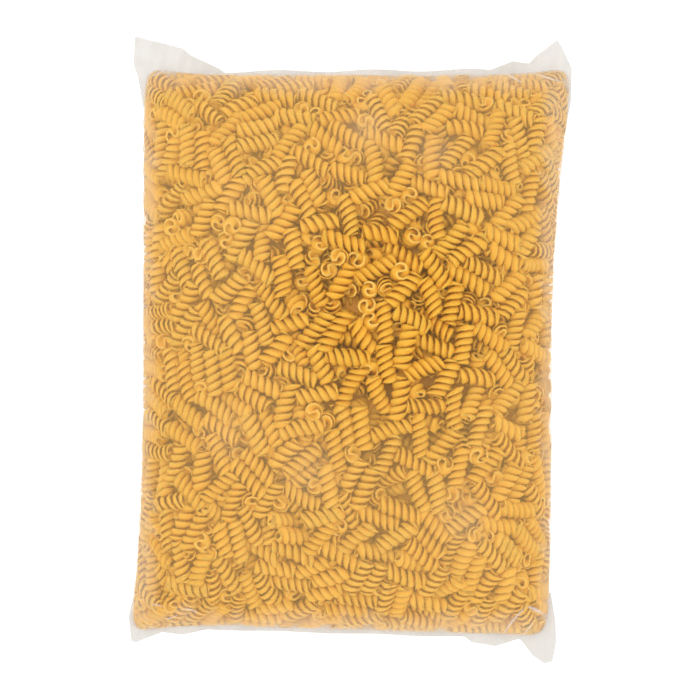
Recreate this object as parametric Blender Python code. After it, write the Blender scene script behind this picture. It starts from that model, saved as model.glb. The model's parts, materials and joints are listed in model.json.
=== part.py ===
"""A clear film bag of corkscrew pasta that lies on its back.

Lengths are in metres. +X is the bag's right, +Y is its top end and +Z is up.
The bag is one solid: a pillow with the pasta's bumps in its surface, a flat
patch that it rests on, and a thin sealed fin with two ears at each end.
"""

import bmesh
import bpy
import numpy as np
from mathutils import Vector

NODE_NAME = "pasta_bag"

# The filled pillow, seen from above
HALF_WIDTH = 0.1472
TOP_END = 0.1985
BOTTOM_END = 0.2015
BOTTOM_SLANT = 0.0045
CENTRE_SHIFT = -0.0018
LEAN = 0.0065
BOW = 0.0021
FLARE = 0.0053
FLARE_SKEW = 0.0030
CORNER_POWER = 24.0

# How far the pasta draws each corner out, and how much lower it lies there
CORNER_REACH = 8.0
PULL_TOP_LEFT = (0.001, 0.009)
PULL_TOP_RIGHT = (-0.002, 0.009)
PULL_BOTTOM_LEFT = (-0.006, -0.012)
PULL_BOTTOM_RIGHT = (-0.001, -0.002)
CORNER_SAG = 0.45
SAG_REACH = 4.0

# The filled pillow, seen from its side
SEAL_HEIGHT = 0.052
SHOULDER_RISE = 0.049
CROWN_RISE = 0.017
UNDERSIDE_DROP = 0.0545
TOP_ROUNDNESS = 5.0
UNDERSIDE_ROUNDNESS = 7.0
SWELL = 0.0015
SWELL_LENGTH = 0.16

# One piece of pasta
PASTA_LENGTH = 0.0305
PASTA_DIAMETER = 0.0115
PASTA_CLEARANCE = 0.0090
PASTA_TRIES = 9000
AXIS_SAMPLES = 5
PASTA_SEED = 23

# The bumps fade out towards the patch that the bag rests on
BUMP_HEIGHT = 0.0034
BUMP_FADE_START = 0.004
BUMP_FADE_END = 0.020

# The sealed fin at each end
FIN_THICKNESS = 0.0014
FIN_DEPTH = 0.030
FIN_ROOT_WIDTH = 0.88
FIN_ROOT_SLANT = 0.004
FIN_WAVE = 0.0025
FIN_WAVE_LENGTH = 0.070
FIN_STEP = 0.012

# Each ear's outline, from the bag's side to where it joins the end's edge
EAR_TOP_LEFT = (
    (-0.1500, 0.176), (-0.1540, 0.199), (-0.1573, 0.2074), (-0.1559, 0.2277),
    (-0.1365, 0.2226), (-0.1209, 0.2182), (-0.1148, 0.2132), (-0.0955, 0.2045),
)
EAR_TOP_RIGHT = (
    (0.1560, 0.160), (0.1600, 0.180), (0.1606, 0.204), (0.1531, 0.2198),
    (0.1501, 0.2246), (0.1349, 0.2132), (0.1302, 0.2081), (0.1180, 0.2096), (0.1008, 0.2027),
)
EAR_BOTTOM_LEFT = (
    (-0.1545, -0.172), (-0.1590, -0.1855), (-0.1606, -0.1939), (-0.1587, -0.2110),
    (-0.1557, -0.2124), (-0.1363, -0.2045), (-0.1211, -0.2061), (-0.1088, -0.2036),
)
EAR_BOTTOM_RIGHT = (
    (0.1455, -0.176), (0.1488, -0.1962), (0.1494, -0.2112), (0.1466, -0.2256),
    (0.1410, -0.2273), (0.1327, -0.2217), (0.1233, -0.2095), (0.1056, -0.2147), (0.0880, -0.2116),
)
TOP_EDGE_LEFT_Y = 0.2016
TOP_EDGE_RIGHT_Y = 0.2035
BOTTOM_EDGE_LEFT_Y = -0.2013
BOTTOM_EDGE_RIGHT_Y = -0.2100
EDGE_WAVE = 0.0006
EDGE_WAVE_LENGTH = 0.069

# Mesh density before and after the triangles are thinned out
TOP_RINGS = 56
UNDERSIDE_RINGS = 24
UNDERSIDE_START = 0.72
TARGET_TRIANGLES = 9600
PROFILE_SAMPLES = 4001
MERGE_DISTANCE = 1e-6

FILM_COLOUR = (0.80, 0.50, 0.16, 1.0)
FILM_ROUGHNESS = 0.38


def clear_scene():
    """Remove every object that the file opened with."""
    for scene_object in list(bpy.data.objects):
        bpy.data.objects.remove(scene_object, do_unlink=True)


def corner_pull(across, along):
    """Return how far a point of the unit square is drawn towards its corner."""
    nearness = np.abs(across * along) ** CORNER_REACH
    pulls = []
    for axis in (0, 1):
        top = np.where(across < 0, PULL_TOP_LEFT[axis], PULL_TOP_RIGHT[axis])
        bottom = np.where(across < 0, PULL_BOTTOM_LEFT[axis], PULL_BOTTOM_RIGHT[axis])
        pulls.append(np.where(along > 0, top, bottom) * nearness)
    return pulls


def corner_share(across, along):
    """Return the share of the bag's full height that it keeps near a corner."""
    return 1.0 - CORNER_SAG * np.abs(across * along) ** SAG_REACH


def plan_point(across, along):
    """Place a point of the unit square on the bag's plan, lean and flare included."""
    end = np.where(along > 0, TOP_END, BOTTOM_END + BOTTOM_SLANT * across)
    y = along * end
    fraction = 2.0 * y / (TOP_END + BOTTOM_END)
    signed_square = fraction * np.abs(fraction)
    centre = CENTRE_SHIFT + LEAN * signed_square + BOW * fraction**2
    half_width = HALF_WIDTH + FLARE * fraction**2 + FLARE_SKEW * signed_square
    pull_x, pull_y = corner_pull(across, along)
    return centre + across * half_width + pull_x, y + pull_y


def swell(x, y):
    """Return the slow rise and fall of the packed pasta under the film."""
    turn = 2 * np.pi / SWELL_LENGTH
    return SWELL * (np.sin(x * turn) * np.cos(y * turn) + np.sin((x + y) * turn / 2 + 1.0) / 2)


def top_rise(radius):
    """Return the height of the upper side over the seal, from centre (0) to edge (1)."""
    shoulder = SHOULDER_RISE * np.sqrt(np.maximum(0.0, 1.0 - radius**TOP_ROUNDNESS))
    return shoulder + CROWN_RISE * (1.0 - radius**2)


def underside_drop(radius):
    """Return the depth of the underside below the seal, from centre (0) to edge (1)."""
    return UNDERSIDE_DROP * np.sqrt(np.maximum(0.0, 1.0 - radius**UNDERSIDE_ROUNDNESS))


def even_radii(height_of, start, count):
    """Space radii from start to 1 so that the steps along the curved profile are even."""
    fine = np.linspace(start, 1.0, PROFILE_SAMPLES)
    across = fine * HALF_WIDTH
    steps = np.hypot(np.diff(across), np.diff(height_of(fine)))
    walked = np.concatenate(([0.0], np.cumsum(steps)))
    return np.interp(np.linspace(0.0, walked[-1], count + 1), walked, fine)


def rounded_direction(across, along):
    """Pull a point of the square's edge in to the bag's rounded corner."""
    scale = (np.abs(across) ** CORNER_POWER + np.abs(along) ** CORNER_POWER) ** (-1 / CORNER_POWER)
    return across * scale, along * scale


def top_points():
    """Return the upper side as a square grid of points, seal to seal."""
    steps = np.arange(-TOP_RINGS, TOP_RINGS + 1)
    column, row = np.meshgrid(steps, steps, indexing="ij")
    ring = np.maximum(np.abs(column), np.abs(row))
    divisor = np.maximum(ring, 1)
    across, along = rounded_direction(column / divisor, row / divisor + (ring == 0))
    radius = even_radii(top_rise, 0.0, TOP_RINGS)[ring]
    across, along = across * radius, along * radius
    x, y = plan_point(across, along)
    rise = top_rise(radius) + swell(x, y) * (1.0 - radius**4)
    z = SEAL_HEIGHT + rise * corner_share(across, along)
    return np.stack((x, y, z), axis=-1)


def underside_rings():
    """Return the rings of points from below the seal down to the underside."""
    side = np.arange(-TOP_RINGS, TOP_RINGS) / TOP_RINGS
    one = np.ones_like(side)
    across, along = rounded_direction(
        np.concatenate((side, one, -side, -one)), np.concatenate((-one, side, one, -side))
    )
    rings = []
    for radius in even_radii(underside_drop, UNDERSIDE_START, UNDERSIDE_RINGS)[-2::-1]:
        x, y = plan_point(across * radius, along * radius)
        drop = underside_drop(radius) * corner_share(across * radius, along * radius)
        rings.append(np.column_stack((x, y, SEAL_HEIGHT - drop)))
    return rings


def build_pillow():
    """Join the upper side and the underside into one closed mesh whose faces point out."""
    pillow = bmesh.new()
    grid = [[pillow.verts.new(point) for point in column] for column in top_points().tolist()]
    last = 2 * TOP_RINGS
    for column in range(last):
        for row in range(last):
            corners = (grid[column][row], grid[column + 1][row])
            beyond = (grid[column + 1][row + 1], grid[column][row + 1])
            pillow.faces.new(corners + beyond)
    seal = [grid[index][0] for index in range(last)] + [grid[last][index] for index in range(last)]
    seal += [grid[last - index][last] for index in range(last)]
    seal += [grid[0][last - index] for index in range(last)]
    rows = [seal]
    rows += [[pillow.verts.new(point) for point in ring.tolist()] for ring in underside_rings()]
    count = len(seal)
    for upper, lower in zip(rows, rows[1:]):
        for index in range(count):
            after = (index + 1) % count
            pillow.faces.new((upper[index], lower[index], lower[after], upper[after]))
    pillow.faces.new(list(reversed(rows[-1])))
    return pillow


def scatter_pasta(points, normals, generator):
    """Lay pasta axes at random on the surface, each clear of those before it.

    Returns an array of shape (pieces, 2, 3) with the two ends of each axis.
    """
    samples = np.linspace(-0.5, 0.5, AXIS_SAMPLES) * (PASTA_LENGTH - PASTA_DIAMETER)
    placed = np.empty((0, 3))
    ends = []
    for _ in range(PASTA_TRIES):
        pick = generator.integers(len(points))
        direction = generator.normal(size=3)
        direction -= normals[pick] * direction.dot(normals[pick])
        direction /= np.linalg.norm(direction)
        axis = points[pick] + samples[:, None] * direction
        if len(placed):
            gaps = np.linalg.norm(placed[:, None, :] - axis[None, :, :], axis=2)
            if gaps.min() < PASTA_CLEARANCE:
                continue
        placed = np.vstack((placed, axis))
        ends.append((axis[0], axis[-1]))
    return np.array(ends)


def distance_to_axis(points, start, end):
    """Return each point's distance to the stretch from start to end."""
    run = end - start
    share = np.clip((points - start) @ run / run.dot(run), 0.0, 1.0)
    return np.linalg.norm(points - start - share[:, None] * run, axis=1)


def raise_bumps(pillow):
    """Push the surface out over each piece of pasta that lies under the film."""
    pillow.normal_update()
    points = np.array([vertex.co[:] for vertex in pillow.verts])
    normals = np.array([vertex.normal[:] for vertex in pillow.verts])
    free = np.flatnonzero(points[:, 2] > BUMP_FADE_START)
    axes = scatter_pasta(points[free], normals[free], np.random.default_rng(PASTA_SEED))
    nearest = np.full(len(points), np.inf)
    for start, end in axes:
        nearest = np.minimum(nearest, distance_to_axis(points, start, end))
    radius = PASTA_DIAMETER / 2
    bump = np.sqrt(np.maximum(0.0, 1.0 - (nearest / radius) ** 2)) * BUMP_HEIGHT
    fade = np.clip((points[:, 2] - BUMP_FADE_START) / (BUMP_FADE_END - BUMP_FADE_START), 0.0, 1.0)
    moved = points + normals * (bump * fade)[:, None]
    for vertex, place in zip(pillow.verts, moved.tolist()):
        vertex.co = place


def flatten_underside(pillow):
    """Cut the underside at the table's height and close it with one flat face."""
    everything = pillow.verts[:] + pillow.edges[:] + pillow.faces[:]
    cut = bmesh.ops.bisect_plane(
        pillow, geom=everything, plane_co=(0, 0, 0), plane_no=(0, 0, 1), clear_inner=True
    )
    rim = [item for item in cut["geom_cut"] if isinstance(item, bmesh.types.BMEdge)]
    bmesh.ops.holes_fill(pillow, edges=rim)


def thin_out(bag, target):
    """Collapse edges until about the target number of triangles is left."""
    bag.data.calc_loop_triangles()
    thinning = bag.modifiers.new("thin_out", "DECIMATE")
    thinning.decimate_type = "COLLAPSE"
    thinning.ratio = target / len(bag.data.loop_triangles)
    apply_modifiers(bag)


def apply_modifiers(bag):
    """Replace an object's mesh by the one its modifiers make."""
    depsgraph = bpy.context.evaluated_depsgraph_get()
    finished = bpy.data.meshes.new_from_object(bag.evaluated_get(depsgraph))
    bag.modifiers.clear()
    bag.data = finished


def edge_between(start_x, end_x, left_y, right_y):
    """Return the points of an end's nearly straight edge from start_x to end_x."""
    count = max(2, round(abs(end_x - start_x) / FIN_STEP))
    points = []
    for x in np.linspace(start_x, end_x, count + 1)[1:-1]:
        share = (x + HALF_WIDTH) / (2 * HALF_WIDTH)
        wave = EDGE_WAVE * np.sin(x / EDGE_WAVE_LENGTH * 2 * np.pi)
        y = left_y + (right_y - left_y) * share + wave
        points.append((float(x), float(y)))
    return points


def fin_height(x):
    """Return the height of the fin's middle plane, which waves along the seal."""
    return SEAL_HEIGHT + FIN_WAVE * np.sin(x / FIN_WAVE_LENGTH * 2 * np.pi)


def fin_outline(left_ear, right_ear, left_y, right_y):
    """Return the fin's outer edge, ear to ear, and its root inside the pillow."""
    edge = edge_between(left_ear[-1][0], right_ear[-1][0], left_y, right_y)
    outer = list(left_ear) + edge + list(reversed(right_ear))
    inward = -1.0 if left_y > 0 else 1.0
    narrowest = FIN_ROOT_WIDTH * left_ear[0][0]
    widest = FIN_ROOT_WIDTH * right_ear[0][0]
    root = []
    for x, _ in outer:
        slant = FIN_ROOT_SLANT * abs(x / HALF_WIDTH)
        root.append((min(max(x, narrowest), widest), left_y + inward * (FIN_DEPTH - slant)))
    return outer, root


def build_fin(name, outer, root):
    """Build one end's sealed fin, a thin wavy strip from its outer edge to its root."""
    fin = bmesh.new()
    sheets = []
    for side in (0.5, -0.5):
        rim = []
        inside = []
        for (x, y), (root_x, root_y) in zip(outer, root):
            height = fin_height(x) + side * FIN_THICKNESS
            rim.append(fin.verts.new((x, y, height)))
            inside.append(fin.verts.new((root_x, root_y, height)))
        sheets.append((rim, inside))
    (top_rim, top_inside), (low_rim, low_inside) = sheets
    last = len(outer) - 1
    for index in range(last):
        after = index + 1
        fin.faces.new((top_rim[index], top_rim[after], top_inside[after], top_inside[index]))
        fin.faces.new((low_rim[after], low_rim[index], low_inside[index], low_inside[after]))
        fin.faces.new((top_rim[after], top_rim[index], low_rim[index], low_rim[after]))
        fin.faces.new((top_inside[index], top_inside[after], low_inside[after], low_inside[index]))
    for index in (0, last):
        fin.faces.new((top_rim[index], top_inside[index], low_inside[index], low_rim[index]))
    bmesh.ops.remove_doubles(fin, verts=fin.verts[:], dist=MERGE_DISTANCE)
    bmesh.ops.triangulate(fin, faces=fin.faces[:])
    bmesh.ops.recalc_face_normals(fin, faces=fin.faces[:])
    return mesh_object(name, fin)


def mesh_object(name, source):
    """Turn a bmesh into an object of the scene."""
    mesh = bpy.data.meshes.new(name)
    source.to_mesh(mesh)
    source.free()
    made = bpy.data.objects.new(name, mesh)
    bpy.context.scene.collection.objects.link(made)
    return made


def join_to(bag, pieces):
    """Fuse the pieces to the bag with one Boolean union and remove them."""
    group = bpy.data.collections.new("fins")
    bpy.context.scene.collection.children.link(group)
    for piece in pieces:
        group.objects.link(piece)
    union = bag.modifiers.new("join_fins", "BOOLEAN")
    union.operation = "UNION"
    union.operand_type = "COLLECTION"
    union.collection = group
    union.solver = "MANIFOLD"
    apply_modifiers(bag)
    for piece in pieces:
        bpy.data.objects.remove(piece, do_unlink=True)
    bpy.data.collections.remove(group)


def centre_on_origin(bag):
    """Move the mesh so that its box is centred in plan and its lowest point is at zero."""
    corners = np.array([vertex.co[:] for vertex in bag.data.vertices])
    low, high = corners.min(axis=0), corners.max(axis=0)
    middle = (low + high) / 2
    offset = Vector((middle[0], middle[1], low[2]))
    for vertex in bag.data.vertices:
        vertex.co -= offset


def film_material():
    """Return the finish of the film with the pasta behind it."""
    material = bpy.data.materials.new("film_over_pasta")
    material.use_nodes = True
    shader = material.node_tree.nodes["Principled BSDF"]
    shader.inputs["Base Color"].default_value = FILM_COLOUR
    shader.inputs["Roughness"].default_value = FILM_ROUGHNESS
    return material


def main():
    """Build the bag."""
    clear_scene()
    pillow = build_pillow()
    raise_bumps(pillow)
    flatten_underside(pillow)
    bmesh.ops.triangulate(pillow, faces=pillow.faces[:])
    bag = mesh_object(NODE_NAME, pillow)
    thin_out(bag, TARGET_TRIANGLES)
    top = fin_outline(EAR_TOP_LEFT, EAR_TOP_RIGHT, TOP_EDGE_LEFT_Y, TOP_EDGE_RIGHT_Y)
    bottom = fin_outline(EAR_BOTTOM_LEFT, EAR_BOTTOM_RIGHT, BOTTOM_EDGE_LEFT_Y, BOTTOM_EDGE_RIGHT_Y)
    join_to(bag, [build_fin("top_fin", *top), build_fin("bottom_fin", *bottom)])
    centre_on_origin(bag)
    bag.data.materials.clear()
    bag.data.materials.append(film_material())
    bag.data.shade_smooth()


main()
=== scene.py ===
"""A clear film bag of corkscrew pasta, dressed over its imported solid.

Every length is in metres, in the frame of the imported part: +X is the bag's
right, +Y its top end and +Z up, with the table at zero.
"""

import json
import logging
import math
from dataclasses import dataclass, field
from enum import Enum

import bmesh
import bpy
import numpy as np
from mathutils import Matrix, Vector
from mathutils.bvhtree import BVHTree

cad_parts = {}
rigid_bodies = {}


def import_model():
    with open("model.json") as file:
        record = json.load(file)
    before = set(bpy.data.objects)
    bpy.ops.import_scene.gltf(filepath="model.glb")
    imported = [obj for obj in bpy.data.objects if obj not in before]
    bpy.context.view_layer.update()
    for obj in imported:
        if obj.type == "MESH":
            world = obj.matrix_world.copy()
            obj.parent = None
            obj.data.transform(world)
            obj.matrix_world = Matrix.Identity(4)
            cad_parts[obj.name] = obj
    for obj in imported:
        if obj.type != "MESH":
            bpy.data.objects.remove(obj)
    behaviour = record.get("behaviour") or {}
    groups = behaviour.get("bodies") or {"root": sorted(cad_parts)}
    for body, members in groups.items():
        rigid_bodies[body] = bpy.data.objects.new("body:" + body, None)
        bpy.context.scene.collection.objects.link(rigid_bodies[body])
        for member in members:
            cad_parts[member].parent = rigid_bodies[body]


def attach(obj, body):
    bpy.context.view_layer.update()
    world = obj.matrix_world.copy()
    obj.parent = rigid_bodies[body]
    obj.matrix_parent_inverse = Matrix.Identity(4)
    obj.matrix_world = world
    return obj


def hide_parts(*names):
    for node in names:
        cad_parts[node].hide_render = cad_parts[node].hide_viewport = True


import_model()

LOG = logging.getLogger("pasta_bag")
NODE = "pasta_bag"
BODY = "root"
Colour = tuple[float, float, float, float]


class Detail(Enum):
    """How finely a piece of pasta is meshed: steps along it and points across a lobe."""

    SHOWN = (20, (1.0, 0.88, 0.76, 0.62, 0.46, 0.28))
    SIDE = (18, (1.0, 0.80, 0.58, 0.34))
    BELOW = (14, (1.0, 0.75, 0.46))
    DEEP = (12, (1.0, 0.66))


@dataclass
class BagForm:
    """The smooth pillow that the film and the pasta share."""

    half_width: float = 0.1472
    top_end: float = 0.1985
    bottom_end: float = 0.2015
    bottom_slant: float = 0.0045
    centre_shift: float = -0.0018
    lean: float = 0.0065
    bow: float = 0.0021
    flare: float = 0.0053
    flare_skew: float = 0.0030
    corner_power: float = 24.0
    corner_reach: float = 8.0
    pull_top_left: tuple[float, float] = (0.001, 0.009)
    pull_top_right: tuple[float, float] = (-0.002, 0.009)
    pull_bottom_left: tuple[float, float] = (-0.006, -0.012)
    pull_bottom_right: tuple[float, float] = (-0.001, -0.002)
    corner_sag: float = 0.45
    sag_reach: float = 4.0
    seal_height: float = 0.052
    shoulder_rise: float = 0.049
    crown_rise: float = 0.017
    underside_drop: float = 0.0545
    top_roundness: float = 5.0
    underside_roundness: float = 7.0
    swell: float = 0.0015
    swell_length: float = 0.16
    outset: float = 0.0022
    rest_height: float = 0.0003

    def plan_point(self, across: np.ndarray, along: np.ndarray) -> tuple[np.ndarray, np.ndarray]:
        """Place points of the unit square on the bag's plan.

        Args:
            across: Places from the left side (-1) to the right side (1).
            along: Places from the bottom end (-1) to the top end (1).

        Returns:
            The points' x and y.
        """
        end = np.where(along > 0, self.top_end, self.bottom_end + self.bottom_slant * across)
        y = along * (end + self.outset)
        fraction = 2.0 * y / (self.top_end + self.bottom_end)
        signed_square = fraction * np.abs(fraction)
        centre = self.centre_shift + self.lean * signed_square + self.bow * fraction**2
        half = self.half_width + self.flare * fraction**2 + self.flare_skew * signed_square
        pull_x, pull_y = self.corner_pull(across, along)
        return centre + across * (half + self.outset) + pull_x, y + pull_y

    def corner_pull(self, across: np.ndarray, along: np.ndarray) -> list[np.ndarray]:
        """Return how far points of the unit square are drawn towards their corner.

        Args:
            across: Places from the left side (-1) to the right side (1).
            along: Places from the bottom end (-1) to the top end (1).

        Returns:
            The pulls in x and in y.
        """
        nearness = np.abs(across * along) ** self.corner_reach
        pulls = []
        for axis in (0, 1):
            top = np.where(across < 0, self.pull_top_left[axis], self.pull_top_right[axis])
            bottom = np.where(across < 0, self.pull_bottom_left[axis], self.pull_bottom_right[axis])
            pulls.append(np.where(along > 0, top, bottom) * nearness)
        return pulls

    def corner_share(self, across: np.ndarray, along: np.ndarray) -> np.ndarray:
        """Return the share of the full height that the bag keeps near its corners."""
        return 1.0 - self.corner_sag * np.abs(across * along) ** self.sag_reach

    def top_height(self, radius: np.ndarray) -> np.ndarray:
        """Return the upper side's height, from its centre (0) to the seal (1)."""
        shoulder = self.shoulder_rise * np.sqrt(np.maximum(0.0, 1.0 - radius**self.top_roundness))
        return self.seal_height + shoulder + self.crown_rise * (1.0 - radius**2)

    def underside_height(self, radius: np.ndarray) -> np.ndarray:
        """Return the underside's height, from its centre (0) to the seal (1)."""
        curve = np.sqrt(np.maximum(0.0, 1.0 - radius**self.underside_roundness))
        return self.seal_height - self.underside_drop * curve

    def even_radii(self, upper: bool, count: int) -> np.ndarray:
        """Space radii so that the steps along the curved profile are even.

        Args:
            upper: True for the upper side, False for the underside.
            count: Number of steps.

        Returns:
            count + 1 radii from 0 to 1.
        """
        fine = np.linspace(0.0, 1.0, 4001)
        height = self.top_height(fine) if upper else self.underside_height(fine)
        walked = np.cumsum(np.hypot(np.diff(fine * self.half_width), np.diff(height)))
        walked = np.concatenate(([0.0], walked))
        return np.interp(np.linspace(0.0, walked[-1], count + 1), walked, fine)

    def side_grid(self, upper: bool, rings: int) -> np.ndarray:
        """Return one side of the bag as a square grid of points.

        Args:
            upper: True for the upper side, False for the underside.
            rings: Grid steps from the centre to the seal.

        Returns:
            An array of shape (2 * rings + 1, 2 * rings + 1, 3).
        """
        steps = np.arange(-rings, rings + 1)
        column, row = np.meshgrid(steps, steps, indexing="ij")
        ring = np.maximum(np.abs(column), np.abs(row))
        divisor = np.maximum(ring, 1)
        across = column / divisor
        along = row / divisor + (ring == 0)
        power = self.corner_power
        pull = (np.abs(across) ** power + np.abs(along) ** power) ** (-1.0 / power)
        radius = self.even_radii(upper, rings)[ring]
        across, along = across * pull * radius, along * pull * radius
        x, y = self.plan_point(across, along)
        share = self.corner_share(across, along)
        if not upper:
            drop = (self.underside_height(radius) - self.seal_height) * share
            return np.stack((x, y, np.maximum(self.rest_height, self.seal_height + drop)), axis=-1)
        turn = 2 * np.pi / self.swell_length
        swell = np.sin(x * turn) * np.cos(y * turn) + np.sin((x + y) * turn / 2 + 1.0) / 2
        rise = self.top_height(radius) - self.seal_height
        rise = rise + (self.swell * swell + self.outset * 0.7) * (1.0 - radius**4)
        return np.stack((x, y, self.seal_height + rise * share), axis=-1)

    def shell(self, rings: int) -> tuple[np.ndarray, np.ndarray, np.ndarray]:
        """Join both sides into one closed shell of quads whose faces point out.

        Args:
            rings: Grid steps from the centre to the seal.

        Returns:
            The points, the quads' corners, and each point's radius as 1 on the seal.
        """
        size = 2 * rings + 1
        index = np.arange(size * size).reshape(size, size)
        under = index + size * size
        for edge in (np.s_[0, :], np.s_[-1, :], np.s_[:, 0], np.s_[:, -1]):
            under[edge] = index[edge]
        points = np.concatenate((self.side_grid(True, rings), self.side_grid(False, rings)))
        points = points.reshape(-1, 3)
        top = (index[:-1, :-1], index[1:, :-1], index[1:, 1:], index[:-1, 1:])
        low = (under[:-1, :-1], under[:-1, 1:], under[1:, 1:], under[1:, :-1])
        quads = np.concatenate([np.stack(side, axis=-1).reshape(-1, 4) for side in (top, low)])
        used, quads = np.unique(quads, return_inverse=True)
        on_seal = np.zeros(len(points))
        for edge in (np.s_[0, :], np.s_[-1, :], np.s_[:, 0], np.s_[:, -1]):
            on_seal[index[edge]] = 1.0
        return points[used], quads.reshape(-1, 4), on_seal[used]


def mesh_from(name: str, points: np.ndarray, faces: list | np.ndarray) -> bpy.types.Mesh:
    """Make a smooth-shaded mesh.

    Args:
        name: The mesh's name.
        points: Its points, one row each.
        faces: The corners of its faces.

    Returns:
        The mesh.
    """
    mesh = bpy.data.meshes.new(name)
    rows = faces.tolist() if isinstance(faces, np.ndarray) else faces
    mesh.from_pydata(points.tolist(), [], rows)
    mesh.shade_smooth()
    mesh.update()
    return mesh


def object_from(name: str, mesh: bpy.types.Mesh) -> bpy.types.Object:
    """Put a mesh in the scene as an object at the origin."""
    made = bpy.data.objects.new(name, mesh)
    bpy.context.scene.collection.objects.link(made)
    return made


def store(mesh: bpy.types.Mesh, name: str, kind: str, values: np.ndarray) -> None:
    """Write one value or vector for each point of a mesh as a named attribute."""
    layer = mesh.attributes.new(name, kind, "POINT")
    key = "vector" if kind == "FLOAT_VECTOR" else "value"
    layer.data.foreach_set(key, np.ravel(values))


def point_normals(points: np.ndarray, quads: np.ndarray) -> np.ndarray:
    """Return each point's outward normal, averaged from its faces."""
    cross = np.cross(points[quads[:, 2]] - points[quads[:, 0]], points[quads[:, 3]] - points[quads[:, 1]])
    normals = np.zeros_like(points)
    for corner in range(4):
        np.add.at(normals, quads[:, corner], cross)
    return normals / np.maximum(np.linalg.norm(normals, axis=1, keepdims=True), 1e-12)


def near_pairs(first: np.ndarray, second: np.ndarray, reach: float) -> tuple[np.ndarray, np.ndarray]:
    """Find the pairs of points that lie in the same or a neighbouring cell.

    Args:
        first: The points to search from.
        second: The points to find.
        reach: The cells' size, the distance within which no pair is missed.

    Returns:
        The pairs' indices into first and into second.
    """
    low = np.minimum(first.min(axis=0), second.min(axis=0)) - 2 * reach
    span = np.maximum(first.max(axis=0), second.max(axis=0)) - low
    size = (span / reach).astype(int) + 4
    stride = np.array((size[1] * size[2], size[2], 1))
    keys = ((second - low) / reach).astype(int) @ stride
    order = np.argsort(keys, kind="stable")
    keys = keys[order]
    home = ((first - low) / reach).astype(int) @ stride
    found = ([], [])
    for step_x in (-1, 0, 1):
        for step_y in (-1, 0, 1):
            cell = home + np.array((step_x, step_y, 0)) @ stride
            start = np.searchsorted(keys, cell - 1, side="left")
            count = np.searchsorted(keys, cell + 1, side="right") - start
            owner = np.repeat(np.arange(len(first)), count)
            offset = np.arange(len(owner)) - np.repeat(np.cumsum(count) - count, count)
            found[0].append(owner)
            found[1].append(order[start[owner] + offset])
    return np.concatenate(found[0]), np.concatenate(found[1])


class DepthField:
    """Depth below the bag's film at any place, read from a grid of samples."""

    def __init__(self, form: BagForm, cell: float = 0.004, rings: int = 40) -> None:
        """Sample the depth inside a form.

        Args:
            form: The bag's smooth form.
            cell: Distance between samples.
            rings: How finely the form is meshed for the samples.
        """
        points, quads, _ = form.shell(rings)
        self.low = points.min(axis=0) - 3 * cell
        self.cell = cell
        self.size = ((points.max(axis=0) + 3 * cell - self.low) / cell).astype(int) + 1
        tree = BVHTree.FromPolygons(points.tolist(), quads.tolist())
        self.depth = np.empty(tuple(self.size))
        for place in np.ndindex(*self.size):
            at = Vector((self.low + np.array(place) * cell).tolist())
            nearest, normal, _, distance = tree.find_nearest(at)
            self.depth[place] = distance if (at - nearest).dot(normal) < 0 else -distance
        self.slope = np.stack(np.gradient(self.depth, cell), axis=-1)

    def read(self, points: np.ndarray) -> tuple[np.ndarray, np.ndarray]:
        """Read the depth and the inward direction at some points.

        Args:
            points: The places, one row each.

        Returns:
            The depths and the unit vectors that point inwards.
        """
        place = np.clip((points - self.low) / self.cell, 0, self.size - 1.001)
        base = place.astype(int)
        share = place - base
        depth = np.zeros(len(points))
        slope = np.zeros((len(points), 3))
        for corner in np.ndindex(2, 2, 2):
            weight = np.prod(np.where(corner, share, 1.0 - share), axis=1)
            at = tuple((base + corner).T)
            depth += weight * self.depth[at]
            slope += weight[:, None] * self.slope[at]
        slope /= np.maximum(np.linalg.norm(slope, axis=1, keepdims=True), 1e-9)
        return depth, slope


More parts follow.
